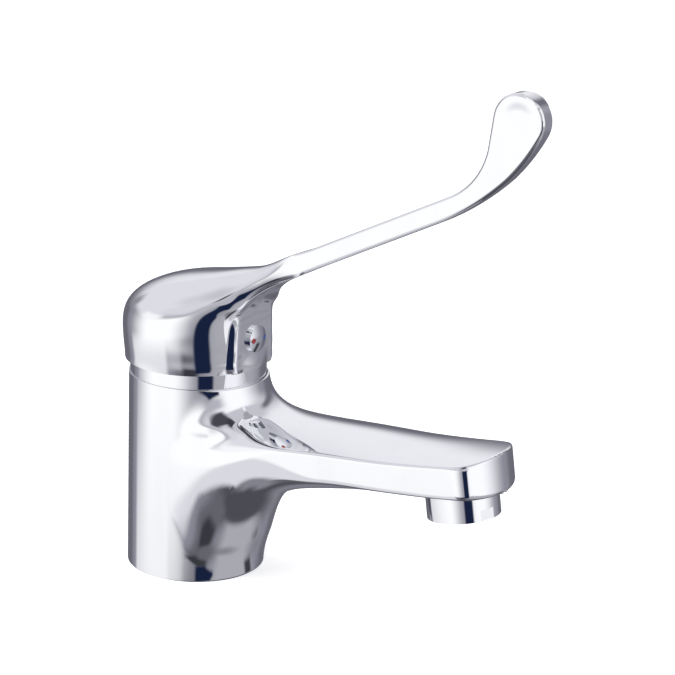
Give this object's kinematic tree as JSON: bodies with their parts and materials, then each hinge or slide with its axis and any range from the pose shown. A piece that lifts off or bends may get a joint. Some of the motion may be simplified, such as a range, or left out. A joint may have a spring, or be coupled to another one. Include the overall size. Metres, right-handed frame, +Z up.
{
  "type": "single-lever basin mixer tap",
  "caption": "Deck-mounted single-lever basin mixer with a tapering spout, a leaning aerator outlet and a long raised elbow lever that swivels and lifts.",
  "frame": {"origin": "centre of the round base, in the plane of the deck that it stands on", "axes": "+Z up, +X along the spout and the lever, -Y the hot side"},
  "size_m": [0.1631, 0.0548, 0.1906],
  "materials": {
    "chrome": "polished chrome plating on cast brass",
    "plug_chrome": "chromed plastic",
    "mark_red": "gloss",
    "mark_blue": "gloss",
    "rubber": "matt black rubber",
    "brass": "machined",
    "steel": "stainless steel",
    "cartridge_plastic": "moulded",
    "collar_plastic": "moulded",
    "ceramic": null,
    "insert_plastic": "moulded"
  },
  "bodies": {
    "tap": {"body": "chrome", "base_gasket": "rubber", "bonnet_ring": "chrome", "bonnet_seal": "rubber", "retaining_nut": "brass", "cartridge_housing": "cartridge_plastic", "housing_seal": "rubber", "cartridge_base": "cartridge_plastic", "hot_seal": "rubber", "cold_seal": "rubber", "outlet_seal": "rubber", "fixed_disc": "ceramic", "aerator_housing": "chrome", "aerator_insert": "insert_plastic", "aerator_screen": "steel", "aerator_washer": "rubber"},
    "swivel": {"swivel_collar": "collar_plastic", "spindle_pin": "steel"},
    "handle": {"lever": "chrome", "spindle": "brass", "grub_screw": "steel", "index_plug": "plug_chrome", "hot_mark": "mark_red", "cold_mark": "mark_blue"},
    "slider": {"moving_disc": "ceramic", "disc_carrier": "collar_plastic"}
  },
  "joints": [
    {"name": "lever_swivel", "type": "hinge", "parent": "tap", "child": "swivel", "pos_m": [0, 0, 0.0722], "axis": [0, 0, 1], "range_deg": [-50, 50]},
    {"name": "lever_lift", "type": "hinge", "parent": "swivel", "child": "handle", "pos_m": [0, 0, 0.0722], "axis": [0, -1, 0], "range_deg": [0, 25]},
    {"name": "disc_slide", "type": "slide", "parent": "swivel", "child": "slider", "axis": [1, 0, 0], "range_m": [0, 0.0054]}
  ],
  "couplings": [
    {"joint": "disc_slide", "follows": "lever_lift", "m_per_rad": 0.0122}
  ]
}
